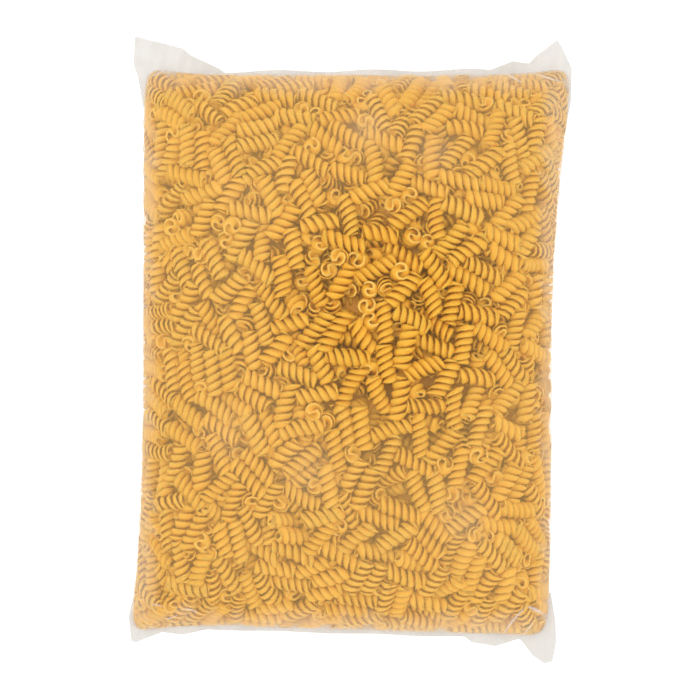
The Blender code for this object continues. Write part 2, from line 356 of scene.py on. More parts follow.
@dataclass
class PastaLayers:
    """Where each piece of pasta lies: a loose heap under the film and more below it."""

    length: float = 0.0295
    diameter: float = 0.0118
    grip: float = 0.0117
    give: float = 0.20
    outer_count: int = 780
    outer_spread: float = 0.0095
    inner_count: int = 760
    inner_depth: float = 0.0165
    inner_spread: float = 0.0070
    lean: float = 0.42
    steep_share: float = 0.045
    tip_room: float = 0.0012
    rounds: int = 130
    candidates: int = 7
    seed: int = 23
    spheres: int = 5
    centres: np.ndarray = field(init=False)
    axes: np.ndarray = field(init=False)
    depths: np.ndarray = field(init=False)
    inward: np.ndarray = field(init=False)

    def settle(self, form: BagForm, depth: DepthField) -> None:
        """Scatter the pieces under the film and push them apart until they lie still.

        Args:
            form: The bag's smooth form.
            depth: The depth field of that form.
        """
        draw = np.random.default_rng(self.seed)
        self.scatter(form, draw)
        arms = np.linspace(-0.5, 0.5, self.spheres) * (self.length - self.diameter)
        owner = np.repeat(np.arange(len(self.centres)), self.spheres)
        arm = np.tile(arms, len(self.centres))
        wanted = self.starting_depths(draw)
        pairs = None
        for turn in range(self.rounds):
            balls = self.centres[owner] + self.axes[owner] * arm[:, None]
            if turn % 5 == 0:
                pairs = self.contacts(balls, owner)
            self.relax(balls, owner, arm, pairs, wanted, depth)
        self.depths, self.inward = depth.read(self.centres)

    def scatter(self, form: BagForm, draw: np.random.Generator) -> None:
        """Draw each piece's first place and direction."""
        points, quads, _ = form.shell(60)
        normals = point_normals(points, quads)
        corners = points[quads]
        diagonals = np.cross(corners[:, 2] - corners[:, 0], corners[:, 3] - corners[:, 1])
        area = np.linalg.norm(diagonals, axis=1)
        middles = corners.mean(axis=1)
        count = self.outer_count + self.inner_count
        shown = normals[quads[:, 0], 2] > -0.3
        outer = self.spread_picks(middles, area, self.outer_count, draw)
        inner = self.spread_picks(middles, area * shown, self.inner_count, draw)
        picked = np.concatenate((outer, inner))
        normal = normals[quads[picked, 0]]
        self.centres = middles[picked] - normal * self.starting_depths(draw)[:, None]
        direction = draw.normal(size=(count, 3))
        lean = draw.normal(scale=self.lean, size=count)
        steep = draw.random(count) < self.steep_share
        lean[steep] = draw.uniform(0.8, 2.5, steep.sum())
        direction -= normal * np.sum(direction * normal, axis=1, keepdims=True)
        direction /= np.linalg.norm(direction, axis=1, keepdims=True)
        direction += normal * lean[:, None]
        self.axes = direction / np.linalg.norm(direction, axis=1, keepdims=True)

    def starting_depths(self, draw: np.random.Generator) -> np.ndarray:
        """Draw the depth that each piece lies at, the outer layer's first."""
        outer = self.diameter / 2 + self.outer_spread * draw.random(self.outer_count) ** 1.3
        inner = self.inner_depth + self.inner_spread * draw.random(self.inner_count)
        return np.concatenate((outer, inner))

    def spread_picks(
        self, places: np.ndarray, weight: np.ndarray, count: int, draw: np.random.Generator
    ) -> np.ndarray:
        """Pick places at random but well apart, each the farthest of a few candidates.

        Args:
            places: The places to pick from.
            weight: How likely each place is drawn.
            count: How many are picked.
            draw: The source of random numbers.

        Returns:
            The picked places' indices.
        """
        tries = draw.choice(len(places), size=(count, self.candidates), p=weight / weight.sum())
        picked = [tries[0, 0]]
        for row in tries[1:]:
            apart = places[row][:, None, :] - places[picked][None, :, :]
            picked.append(row[np.argmax(np.min(np.sum(apart**2, axis=2), axis=1))])
        return np.array(picked)

    def contacts(self, balls: np.ndarray, owner: np.ndarray) -> tuple[np.ndarray, np.ndarray]:
        """Find the pairs of spheres of different pieces that may touch soon."""
        first, second = near_pairs(balls, balls, 1.25 * self.grip)
        keep = owner[first] < owner[second]
        first, second = first[keep], second[keep]
        close = np.linalg.norm(balls[first] - balls[second], axis=1) < 1.35 * self.grip
        return first[close], second[close]

    def relax(
        self,
        balls: np.ndarray,
        owner: np.ndarray,
        arm: np.ndarray,
        pairs: tuple[np.ndarray, np.ndarray],
        wanted: np.ndarray,
        depth: DepthField,
    ) -> None:
        """Push overlapping pieces apart and back under the film, once.

        Args:
            balls: The spheres along the pieces.
            owner: The piece that each sphere belongs to.
            arm: Each sphere's place along its piece.
            pairs: The pairs of spheres to test.
            wanted: The depth that each piece drifts to.
            depth: The bag's depth field.
        """
        first, second = pairs
        apart = balls[first] - balls[second]
        distance = np.linalg.norm(apart, axis=1)
        overlap = np.maximum(0.0, self.grip - distance)
        push = apart * (overlap / np.maximum(distance, 1e-9) / 2)[:, None]
        moved = np.zeros_like(balls)
        hits = np.zeros(len(balls))
        np.add.at(moved, first, push)
        np.add.at(moved, second, -push)
        np.add.at(hits, first, overlap > 0)
        np.add.at(hits, second, overlap > 0)
        below, inward = depth.read(balls)
        tips = self.tip_room * (np.abs(arm) > 0.25 * self.length)
        short = np.maximum(0.0, self.diameter / 2 + tips - below)
        held = inward * short[:, None]
        hits += short > 0
        pieces = len(self.centres)
        shift = moved + held
        total = np.stack([np.bincount(owner, shift[:, axis], pieces) for axis in range(3)], axis=1)
        touched = np.maximum(1.0, np.bincount(owner, hits, pieces))
        twist = np.cross(self.axes[owner] * arm[:, None], held + self.give * moved)
        turn = np.stack([np.bincount(owner, twist[:, axis], pieces) for axis in range(3)], axis=1)
        weight = np.bincount(owner, (arm**2 + self.grip**2 / 4) * np.minimum(hits, 1.0), pieces)
        self.centres += 1.3 * total / touched[:, None]
        self.axes += np.cross(turn / np.maximum(weight, 1e-5)[:, None], self.axes)
        self.axes /= np.linalg.norm(self.axes, axis=1, keepdims=True)
        now, inward = depth.read(self.centres)
        self.centres += inward * np.clip(wanted - now, -0.0002, 0.0001)[:, None]


@dataclass
class Corkscrew:
    """One two-lobed twist of pasta along Z, centred on the origin."""

    length: float = 0.0295
    radius: float = 0.0059
    pitch: float = 0.0112
    half_thickness: float = 0.00085
    rim_share: float = 0.48
    swing: float = 2.0
    curl: float = 3.0
    lag: float = 1.25
    bend: float = 0.0
    phase: float = 0.0
    slant: float = 0.0

    def section(self, lobe: tuple[float, ...]) -> tuple[np.ndarray, np.ndarray]:
        """Return the ribbon's section as a closed outline and each point's reach.

        Args:
            lobe: Places along a lobe from its rim (1) inwards.

        Returns:
            The outline's points, and their distance from the centre as 0 to 1.
        """
        places = np.array(lobe + (0.0,) + tuple(-place for place in reversed(lobe)))
        fine = self.ribbon(places)
        step = self.ribbon(places + 0.01) - self.ribbon(places - 0.01)
        across = np.stack((-step[:, 1], step[:, 0]), axis=1)
        across /= np.linalg.norm(across, axis=1, keepdims=True)
        half = self.half_thickness * (1.0 - (1.0 - self.rim_share) * places**4)
        half[[0, -1]] = 0.0
        one = fine + across * half[:, None]
        other = fine - across * half[:, None]
        outline = np.concatenate((one, other[-2:0:-1]))
        return outline, np.abs(np.concatenate((places, places[-2:0:-1])))

    def ribbon(self, places: np.ndarray) -> np.ndarray:
        """Return points of the section's S-shaped middle line, rim (-1) to rim (1)."""
        share = np.minimum(np.abs(places), 1.0)
        angle = self.curl * share**self.lag + np.where(places < 0, np.pi, 0.0)
        reach = self.radius * (1.0 - (1.0 - share) ** self.swing)
        return np.stack((np.cos(angle), np.sin(angle)), axis=1) * reach[:, None]

    def build(self, name: str, detail: Detail) -> bpy.types.Mesh:
        """Sweep the section along the twist and close both ends.

        Args:
            name: The mesh's name.
            detail: How fine the mesh is.

        Returns:
            The mesh, with each point's reach as an attribute.
        """
        steps, lobe = detail.value
        outline, reach = self.section(lobe)
        count = len(outline)
        heights = np.linspace(-0.5, 0.5, steps + 1)
        rings = []
        for share in heights:
            angle = self.phase + 2 * np.pi * share * self.length / self.pitch
            swell = 1.0 + 0.03 * math.sin(7.0 * share + self.phase)
            cos, sin = math.cos(angle) * swell, math.sin(angle) * swell
            x = outline[:, 0] * cos - outline[:, 1] * sin
            y = outline[:, 0] * sin + outline[:, 1] * cos
            z = share * self.length + self.slant * x * abs(2 * share) ** 3
            rings.append(np.stack((x + self.bend * (4 * share**2 - 0.33), y, z), axis=1))
        faces = []
        for ring in range(steps):
            for point in range(count):
                after = (point + 1) % count
                low, high = ring * count, (ring + 1) * count
                faces.append((low + point, low + after, high + after, high + point))
        sides = len(faces)
        faces += self.caps(count, steps)
        mesh = mesh_from(name, np.concatenate(rings), faces)
        smooth = np.arange(len(mesh.polygons)) < sides
        mesh.polygons.foreach_set("use_smooth", smooth)
        store(mesh, "reach", "FLOAT", np.tile(reach, steps + 1))
        cut = mesh.attributes.new("cut", "FLOAT", "FACE")
        cut.data.foreach_set("value", (~smooth).astype(float))
        return self.facing_out(mesh)

    def caps(self, count: int, steps: int) -> list[tuple[int, ...]]:
        """Return the faces that close the two cut ends."""
        half = count // 2
        first = [(0, count - 1, 1)]
        for point in range(1, half - 1):
            first.append((point, count - point, count - point - 1, point + 1))
        first.append((half - 1, half + 1, half))
        far = steps * count
        last = [tuple(far + corner for corner in reversed(face)) for face in first]
        return first + last

    def facing_out(self, mesh: bpy.types.Mesh) -> bpy.types.Mesh:
        """Turn the faces out where the outline ran clockwise."""
        work = bmesh.new()
        work.from_mesh(mesh)
        if work.calc_volume(signed=True) < 0:
            bmesh.ops.reverse_faces(work, faces=work.faces[:])
        work.to_mesh(mesh)
        work.free()
        return mesh


def add_node(tree: bpy.types.NodeTree, kind: str, **settings: object) -> bpy.types.Node:
    """Add a node to a tree and set its properties."""
    node = tree.nodes.new(kind)
    for name, value in settings.items():
        setattr(node, name, value)
    return node


def attribute_node(tree: bpy.types.NodeTree, name: str, kind: str) -> bpy.types.NodeSocket:
    """Read a named attribute in a geometry tree."""
    node = add_node(tree, "GeometryNodeInputNamedAttribute", data_type=kind)
    node.inputs["Name"].default_value = name
    return node.outputs["Attribute"]


def placing_tree() -> bpy.types.NodeTree:
    """Build the tree that puts a pasta shape on each point and realises it.

    Returns:
        The tree. Its inputs are the points, the shapes, a scale and a finish.
    """
    tree = bpy.data.node_groups.new("lay_pasta", "GeometryNodeTree")
    face = tree.interface
    face.new_socket("Points", in_out="INPUT", socket_type="NodeSocketGeometry")
    face.new_socket("Shapes", in_out="INPUT", socket_type="NodeSocketCollection")
    face.new_socket("Scale", in_out="INPUT", socket_type="NodeSocketFloat")
    face.new_socket("Finish", in_out="INPUT", socket_type="NodeSocketMaterial")
    face.new_socket("Pasta", in_out="OUTPUT", socket_type="NodeSocketGeometry")
    given = add_node(tree, "NodeGroupInput")
    shapes = add_node(tree, "GeometryNodeCollectionInfo", transform_space="ORIGINAL")
    shapes.inputs["Separate Children"].default_value = True
    shapes.inputs["Reset Children"].default_value = True
    turn = add_node(tree, "FunctionNodeEulerToRotation")
    scale = add_node(tree, "ShaderNodeMath", operation="MULTIPLY")
    lay = add_node(tree, "GeometryNodeInstanceOnPoints")
    lay.inputs["Pick Instance"].default_value = True
    real = add_node(tree, "GeometryNodeRealizeInstances")
    dress = add_node(tree, "GeometryNodeSetMaterial")
    result = add_node(tree, "NodeGroupOutput")
    link = tree.links.new
    link(given.outputs["Shapes"], shapes.inputs["Collection"])
    link(given.outputs["Points"], lay.inputs["Points"])
    link(shapes.outputs["Instances"], lay.inputs["Instance"])
    link(attribute_node(tree, "shape", "INT"), lay.inputs["Instance Index"])
    link(attribute_node(tree, "turn", "FLOAT_VECTOR"), turn.inputs[0])
    link(turn.outputs[0], lay.inputs["Rotation"])
    link(attribute_node(tree, "size", "FLOAT"), scale.inputs[0])
    link(given.outputs["Scale"], scale.inputs[1])
    link(scale.outputs[0], lay.inputs["Scale"])
    link(lay.outputs["Instances"], real.inputs["Geometry"])
    link(real.outputs["Geometry"], dress.inputs["Geometry"])
    link(given.outputs["Finish"], dress.inputs["Material"])
    link(dress.outputs["Geometry"], result.inputs["Pasta"])
    return tree


@dataclass
class PastaFill:
    """The loose pasta, as one mesh for each part of the bag that it shows in."""

    layers: PastaLayers
    depth: DepthField
    shapes: int = 9
    most_triangles: int = 190_000
    partly_from: float = 0.0088
    deep_from: float = 0.0122
    buried_from: float = 0.0180
    upright: float = 0.55
    clear_middle: tuple[float, float] = (0.030, 0.030)
    clear_start: float = 0.030
    clear_end: float = 0.130
    film_room: float = 0.0007
    side_room: float = 0.0010
    seed: int = 5

    def build(self, finish: "PastaFinish") -> list[bpy.types.Object]:
        """Lay every piece of pasta with its shape, size and shade.

        Args:
            finish: The pasta's finish.

        Returns:
            The pasta objects.
        """
        layers = self.layers
        draw = np.random.default_rng(self.seed)
        count = len(layers.centres)
        turns = self.turns(draw)
        shape = draw.integers(0, self.shapes, count)
        size = np.clip(draw.normal(1.0, 0.035, count), 0.92, 1.08)
        tone = draw.random(count)
        # Painted light: pieces are coloured darker in the clear patch and paler away from it, standing in
        # for the light that the milky film scatters.
        shade = self.haze_at(layers.centres)
        nearest = self.nearest_depths()
        upright = np.abs(np.sum(layers.axes * layers.inward, axis=1)) > self.upright
        upper = layers.inward[:, 2] < -0.45
        under = layers.inward[:, 2] > 0.45
        partly, deep, buried = (
            (nearest > limit) & ~(upper & upright)
            for limit in (self.partly_from, self.deep_from, self.buried_from)
        )
        groups = (
            ("pasta_upper", Detail.SHOWN, upper & ~partly),
            ("pasta_side", Detail.SIDE, ~under & ~deep & ~(upper & ~partly)),
            ("pasta_below", Detail.BELOW, (upper & deep & ~buried) | (under & ~deep)),
            ("pasta_deep", Detail.DEEP, (upper & buried) | (~upper & deep)),
        )
        tree = placing_tree()
        material = finish.material()
        made = []
        for name, detail, chosen in groups:
            library = self.library(name, detail)
            triangles = sum(len(face.vertices) - 2 for face in library.objects[0].data.polygons)
            members = np.flatnonzero(chosen)
            parts = math.ceil(len(members) * triangles / self.most_triangles)
            for part in range(parts):
                some = members[part::parts]
                points = mesh_from("points", layers.centres[some], [])
                store(points, "turn", "FLOAT_VECTOR", turns[some])
                store(points, "shape", "INT", shape[some])
                store(points, "size", "FLOAT", size[some])
                store(points, "tone", "FLOAT", tone[some])
                store(points, "shade", "FLOAT", shade[some])
                made.append(self.lay(f"{name}_{part + 1}", points, tree, library, material))
            for shape_object in list(library.objects):
                bpy.data.objects.remove(shape_object, do_unlink=True)
            bpy.data.collections.remove(library)
        return made

    def nearest_depths(self) -> np.ndarray:
        """Return how near each piece comes to the film, at its middle or its tips."""
        layers = self.layers
        arm = layers.axes * (layers.length - layers.diameter) / 2
        places = (layers.centres, layers.centres + arm, layers.centres - arm)
        return np.min([self.depth.read(place)[0] for place in places], axis=0)

    def haze_at(self, places: np.ndarray) -> np.ndarray:
        """Return how far places are from the clear patch, from 0 in it to 1 well outside."""
        away = np.linalg.norm(places[:, :2] - self.clear_middle, axis=1)
        share = np.clip((away - self.clear_start) / (self.clear_end - self.clear_start), 0.0, 1.0)
        return share * share * (3.0 - 2.0 * share)

    def turns(self, draw: np.random.Generator) -> np.ndarray:
        """Return each piece's rotation as Euler angles, with a random spin."""
        rows = []
        for axis, spin in zip(self.layers.axes, draw.uniform(0.0, 2 * np.pi, len(self.layers.axes))):
            lift = Vector(axis.tolist()).to_track_quat("Z", "Y").to_matrix()
            rows.append(tuple((lift @ Matrix.Rotation(spin, 3, "Z")).to_euler("XYZ")))
        return np.array(rows)

    def library(self, name: str, detail: Detail) -> bpy.types.Collection:
        """Build the shapes that the pieces are picked from, each a little different."""
        library = bpy.data.collections.new(f"{name}_shapes")
        draw = np.random.default_rng(self.seed + 1)
        for index in range(self.shapes):
            twist = Corkscrew(
                length=0.0300 * draw.uniform(0.88, 1.07),
                radius=0.0060 * draw.uniform(0.95, 1.05),
                pitch=0.0112 * draw.uniform(0.93, 1.12),
                swing=draw.uniform(1.8, 2.3),
                curl=draw.uniform(3.05, 3.55),
                bend=draw.uniform(-0.0022, 0.0022),
                phase=draw.uniform(0.0, 2 * np.pi),
                slant=draw.uniform(-0.35, 0.35),
            )
            shape = bpy.data.objects.new(f"{name}_shape_{index}", twist.build(name, detail))
            library.objects.link(shape)
        return library

    def lay(
        self,
        name: str,
        points: bpy.types.Mesh,
        tree: bpy.types.NodeTree,
        library: bpy.types.Collection,
        material: bpy.types.Material,
    ) -> bpy.types.Object:
        """Run the placing tree on some points and keep its result as a plain mesh.

        Args:
            name: The new object's name.
            points: The points with their attributes.
            tree: The placing tree.
            library: The shapes.
            material: The pasta's material.

        Returns:
            The object.
        """
        holder = object_from("holder", points)
        laying = holder.modifiers.new("lay_pasta", "NODES")
        laying.node_group = tree
        values = {"Shapes": library, "Scale": 1.0, "Finish": material}
        for item in tree.interface.items_tree:
            if item.in_out == "INPUT" and item.name in values:
                laying[item.identifier] = values[item.name]
        depsgraph = bpy.context.evaluated_depsgraph_get()
        mesh = bpy.data.meshes.new_from_object(holder.evaluated_get(depsgraph))
        mesh.name = name
        bpy.data.objects.remove(holder, do_unlink=True)
        self.tuck_in(mesh)
        return object_from(name, mesh)

    def tuck_in(self, mesh: bpy.types.Mesh) -> None:
        """Press the tips that would poke through the film back under it."""
        points = np.empty(len(mesh.vertices) * 3)
        mesh.vertices.foreach_get("co", points)
        points = points.reshape(-1, 3)
        below, inward = self.depth.read(points)
        room = self.film_room + self.side_room * (1.0 - np.abs(inward[:, 2])) ** 2
        points += inward * np.maximum(0.0, room - below)[:, None]
        points[:, 2] = np.maximum(points[:, 2], self.film_room)
        mesh.vertices.foreach_set("co", points.ravel())
        mesh.update()


@dataclass
class PastaCore:
    """The shaded heart of the heap behind the pieces that show."""

    width_share: float = 0.865
    length_share: float = 0.900
    height_share: float = 0.66
    rings: int = 44
    lump: float = 0.0022

    def build(self, form: BagForm, finish: "CoreFinish") -> bpy.types.Object:
        """Build the core as a smaller, lumpy copy of the bag's form.

        Args:
            form: The bag's smooth form.
            finish: The core's finish.

        Returns:
            The object.
        """
        points, quads, _ = form.shell(self.rings)
        middle = np.array((0.0, 0.0, form.seal_height + 0.006))
        shares = np.array((self.width_share, self.length_share, self.height_share))
        points = middle + (points - middle) * shares
        lumps = np.sin(points[:, 0] * 610) * np.sin(points[:, 1] * 540) + np.sin(points @ (310, 420, 500))
        points += point_normals(points, quads) * (self.lump * lumps / 2)[:, None]
        core = object_from("pasta_core", mesh_from("pasta_core", points, quads))
        core.data.materials.append(finish.material())
        return core


@dataclass
class FilmBag:
    """The film that lies over the pasta and is drawn in between the pieces."""

    rings: int = 80
    clearance: float = 0.0003
    deepest: float = 0.0085
    pull: float = 0.00005
    rounds: int = 120
    crease: float = 0.0009
    touch: float = 0.0019
    # Strength of the veil of painted light from the pasta, in the clear patch and well outside it.
    near_painted_scatter: float = 0.18
    far_painted_scatter: float = 0.74
    end_haze: float = 0.90
    end_band: float = 0.018
    side_haze: float = 0.75
    side_band: float = 0.012
    band_ripple: float = 0.0030
    veils: tuple[tuple[float, float, float, float], ...] = (
        (-0.118, -0.188, 0.006, 0.7), (0.099, -0.205, 0.009, 0.8), (0.012, 0.157, 0.016, 0.25),
        (0.060, 0.140, 0.014, 0.2), (-0.146, 0.135, 0.008, 0.5), (-0.030, -0.085, 0.020, 0.15),
        (-0.090, -0.060, 0.018, 0.15), (0.080, -0.120, 0.018, 0.2), (0.146, 0.175, 0.008, 0.4),
    )

    def build(
        self, form: BagForm, fill: PastaFill, pasta: list[bpy.types.Object], finish: "FilmFinish"
    ) -> bpy.types.Object:
        """Drape the film over the settled pasta.

        Args:
            form: The bag's smooth form.
            fill: The pasta's fill, which knows the clear patch and the depths.
            pasta: The finished pasta objects.
            finish: The film's finish.

        Returns:
            The object.
        """
        points, quads, on_seal = form.shell(self.rings)
        normals = point_normals(points, quads)
        room = self.room_under(points, normals, pasta, fill.depth)
        edges = np.unique(np.sort(np.concatenate((quads[:, :2], quads[:, 1:3])), axis=1), axis=0)
        sunk = self.draw_in(room, edges, on_seal)
        folds = self.folds(points, form)
        flat = np.clip((points[:, 2] - 0.002) / 0.01, 0.0, 1.0)
        shift = (-sunk + self.crease * folds) * flat
        mesh = mesh_from("film_bag", points + normals * shift[:, None], quads)
        store(mesh, "gap", "FLOAT", np.clip((room - sunk) / 0.006, 0.0, 1.0))
        # Painted light: a veil in the pasta's colour stands in for light scattered from the pasta and lifts
        # the shaded gaps; it adds to the milkiness.
        haze, painted_scatter = self.haze(points, form), self.painted_scatter(points, fill)
        store(mesh, "haze", "FLOAT", np.clip(haze + painted_scatter, 0.0, 1.0))
        store(mesh, "painted_scatter_share", "FLOAT", painted_scatter / (haze + painted_scatter))
        film = object_from("film_bag", mesh)
        film.data.materials.append(finish.material())
        return film

    def room_under(
        self, points: np.ndarray, normals: np.ndarray, pasta: list[bpy.types.Object], depth: DepthField
    ) -> np.ndarray:
        """Return how far each point of the film can sink before it meets pasta.

        Args:
            points: The film's points.
            normals: Their outward normals.
            pasta: The finished pasta objects.
            depth: The bag's depth field.

        Returns:
            The room below each point, at most the deepest that film is drawn.
        """
        room = np.full(len(points), self.deepest)
        for piece in pasta:
            tips = np.empty(len(piece.data.vertices) * 3)
            piece.data.vertices.foreach_get("co", tips)
            tips = tips.reshape(-1, 3)
            tips = tips[depth.read(tips)[0] < self.deepest]
            if not len(tips):
                continue
            first, second = near_pairs(tips, points, 2.0 * self.touch)
            apart = points[second] - tips[first]
            along = np.sum(apart * normals[second], axis=1)
            aside = np.sum(apart**2, axis=1) - along**2
            under = aside < self.touch**2
            np.minimum.at(room, second[under], along[under] - self.clearance)
        return np.clip(room, 0.0, self.deepest)

    def painted_scatter(self, points: np.ndarray, fill: PastaFill) -> np.ndarray:
        """Return the strength of the veil of painted light in the pasta's colour, least in the clear patch.
        """
        return self.near_painted_scatter + (self.far_painted_scatter - self.near_painted_scatter) * fill.haze_at(points)

    def haze(self, points: np.ndarray, form: BagForm) -> np.ndarray:
        """Return the film's pale milkiness, most along the ends and sides and in the veils.

        Args:
            points: The film's points.
            form: The bag's smooth form.

        Returns:
            The milkiness, from 0 to about 1.
        """
        end = np.where(points[:, 1] > 0, form.top_end, form.bottom_end)
        to_end = end - np.abs(points[:, 1]) + self.ripple(points[:, 0])
        haze = self.end_haze * np.clip(1.0 - to_end / self.end_band, 0.0, 1.0) ** 1.5
        to_side = form.half_width - np.abs(points[:, 0] - form.centre_shift)
        to_side += self.ripple(points[:, 1] + points[:, 0])
        haze += self.side_haze * np.clip(1.0 - to_side / self.side_band, 0.0, 1.0) ** 1.5
        for x, y, radius, strength in self.veils:
            away = np.hypot(points[:, 0] - x, points[:, 1] - y) / radius
            haze += strength * np.exp(-(away**2))
        return haze

    def ripple(self, along: np.ndarray) -> np.ndarray:
        """Return how far the edge of a milky band wanders along it."""
        return self.band_ripple * np.sin(along * 190 + 2.5 * np.sin(along * 71))

    def draw_in(self, room: np.ndarray, edges: np.ndarray, on_seal: np.ndarray) -> np.ndarray:
        """Draw the film in evenly, held by the pasta below it and by the seal.

        Args:
            room: How far each point can sink.
            edges: The film's edges.
            on_seal: 1 for the points that the seal holds.

        Returns:
            How far each point sinks.
        """
        count = len(room)
        ends = np.concatenate((edges, edges[:, ::-1]))
        neighbours = np.bincount(ends[:, 0], minlength=count)
        least = room.copy()
        np.minimum.at(least, ends[:, 0], room[ends[:, 1]])
        sunk = np.zeros(count)
        for _ in range(self.rounds):
            mean = np.bincount(ends[:, 0], sunk[ends[:, 1]], count) / neighbours
            sunk = np.minimum(least, mean + self.pull)
        return sunk

    def folds(self, points: np.ndarray, form: BagForm) -> np.ndarray:
        """Return the height of the folds that fan out from the corners and cross the sides.

        Args:
            points: The film's points.
            form: The bag's smooth form.

        Returns:
            The folds' height, from -1 to 1.
        """
        total = np.zeros(len(points))
        for side in (-1.0, 1.0):
            for end in (-1.0, 1.0):
                corner = np.array((side * form.half_width, end * form.top_end))
                away = points[:, :2] - corner
                distance = np.linalg.norm(away, axis=1)
                angle = np.arctan2(away[:, 1] * -end, away[:, 0] * -side)
                fan = np.abs(np.sin(angle * 9.0 + side + 2 * end)) ** 0.6 - 0.5
                total += fan * np.exp(-distance / 0.028)
        edge = np.abs(points[:, 0]) / form.half_width
        near = np.clip((edge - 0.90) / 0.1, 0.0, 1.0)
        wave = np.sin(points[:, 1] * 260 + 3.0 * np.sin(points[:, 1] * 47)) ** 3
        return total + 0.45 * near * wave


@dataclass
class FilmFold:
    """One raised fold of the film, a low tent that tapers out at both ends."""

    start: tuple[float, float]
    end: tuple[float, float]
    bow: float = 0.0
    width: float = 0.0024
    height: float = 0.0011
    step: float = 0.0010

    def rows(self, tree: BVHTree) -> tuple[np.ndarray, np.ndarray]:
        """Lay the fold on the film.

        Args:
            tree: The film's faces, as a search tree.

        Returns:
            The fold's points, of shape (steps along it, 5 across it, 3), and how much
            film is gathered at each, from 0 to 1.
        """
        start, end = np.array(self.start), np.array(self.end)
        run = end - start
        length = np.linalg.norm(run)
        aside = np.array((-run[1], run[0])) / length
        share = np.linspace(0.0, 1.0, max(6, round(length / self.step)) + 1)[:, None]
        middle = start + run * share + aside * self.bow * 4.0 * share * (1.0 - share)
        heights = []
        for x, y in middle:
            hit = tree.ray_cast(Vector((x, y, 0.5)), Vector((0.0, 0.0, -1.0)))[0]
            heights.append(hit.z if hit else 0.0525)
        ground = np.array(heights)
        for _ in range(4):
            padded = np.pad(ground, 1, mode="edge")
            ground = np.maximum(ground, (padded[:-2] + padded[1:-1] + padded[2:]) / 3)
        taper = np.sqrt(np.sin(np.pi * np.clip(share[:, 0], 0.02, 0.98)))
        across = np.array((-1.0, -0.45, 0.0, 0.45, 1.0))
        rise = np.array((-0.25, 0.55, 1.0, 0.55, -0.25))
        plan = middle[:, None, :] + (across * taper[:, None] * self.width / 2)[..., None] * aside
        z = ground[:, None] + rise * taper[:, None] * self.height
        gathered = (1.0 - np.abs(across)) * taper[:, None]
        return np.concatenate((plan, z[..., None]), axis=-1), gathered


@dataclass
class FilmFolds:
    """The folds that stand up in the film near its corners and along its sides."""

    folds: tuple[FilmFold, ...] = (
        FilmFold((0.1114, 0.2015), (0.1254, 0.1908), -0.0012),
        FilmFold((0.1287, 0.2010), (0.1557, 0.1923), -0.0012),
        FilmFold((0.1095, -0.2074), (0.1262, -0.1827), 0.0018, 0.0026),
        FilmFold((0.1262, -0.1827), (0.1399, -0.1907), 0.0004, 0.0038),
        FilmFold((0.1244, -0.2066), (0.1320, -0.1943), 0.0, 0.0018),
        FilmFold((-0.1443, 0.1973), (-0.1321, 0.2046), -0.0014),
        FilmFold((-0.1432, -0.1825), (-0.1327, -0.1842), 0.0012, 0.0018),
        FilmFold((-0.1343, -0.1930), (-0.1233, -0.1897), -0.0008, 0.0018),
        FilmFold((-0.1584, -0.1924), (-0.1573, -0.2019), 0.0, 0.0016),
        FilmFold((-0.1216, -0.1853), (-0.1066, -0.1897), 0.0020, 0.0018),
        FilmFold((-0.1505, 0.0812), (-0.1436, 0.0819), 0.0006, 0.0014),
        FilmFold((-0.1505, 0.0297), (-0.1450, 0.0319), 0.0004, 0.0014),
        FilmFold((0.1489, 0.1264), (0.1511, 0.1360), 0.0, 0.0014),
    )

    def build(self, film: bpy.types.Object, finish: "FilmFinish") -> bpy.types.Object:
        """Build every fold over the finished film.

        Args:
            film: The draped film.
            finish: The folds' finish.

        Returns:
            The object.
        """
        film_mesh = film.data
        corners = [vertex.co for vertex in film_mesh.vertices]
        tree = BVHTree.FromPolygons(corners, [tuple(face.vertices) for face in film_mesh.polygons])
        points, faces, gathers = [], [], []
        for fold in self.folds:
            rows, gathered = fold.rows(tree)
            first = sum(len(part) for part in points)
            index = first + np.arange(rows.shape[0] * rows.shape[1]).reshape(rows.shape[:2])
            quads = (index[:-1, :-1], index[1:, :-1], index[1:, 1:], index[:-1, 1:])
            quads = np.stack(quads, axis=-1).reshape(-1, 4)
            points.append(rows.reshape(-1, 3))
            gathers.append(gathered.ravel())
            faces.append(self.facing_up(points[-1], quads - first) + first)
        mesh = mesh_from("film_folds", np.concatenate(points), np.concatenate(faces))
        for name in ("gap", "haze"):
            store(mesh, name, "FLOAT", np.concatenate(gathers))
        folds = object_from("film_folds", mesh)
        folds.data.materials.append(finish.material())
        return folds

    def facing_up(self, points: np.ndarray, quads: np.ndarray) -> np.ndarray:
        """Turn the quads over if they face down."""
        corners = points[quads]
        lift = np.cross(corners[:, 2] - corners[:, 0], corners[:, 3] - corners[:, 1])[:, 2].sum()
        return quads if lift > 0 else quads[:, ::-1]


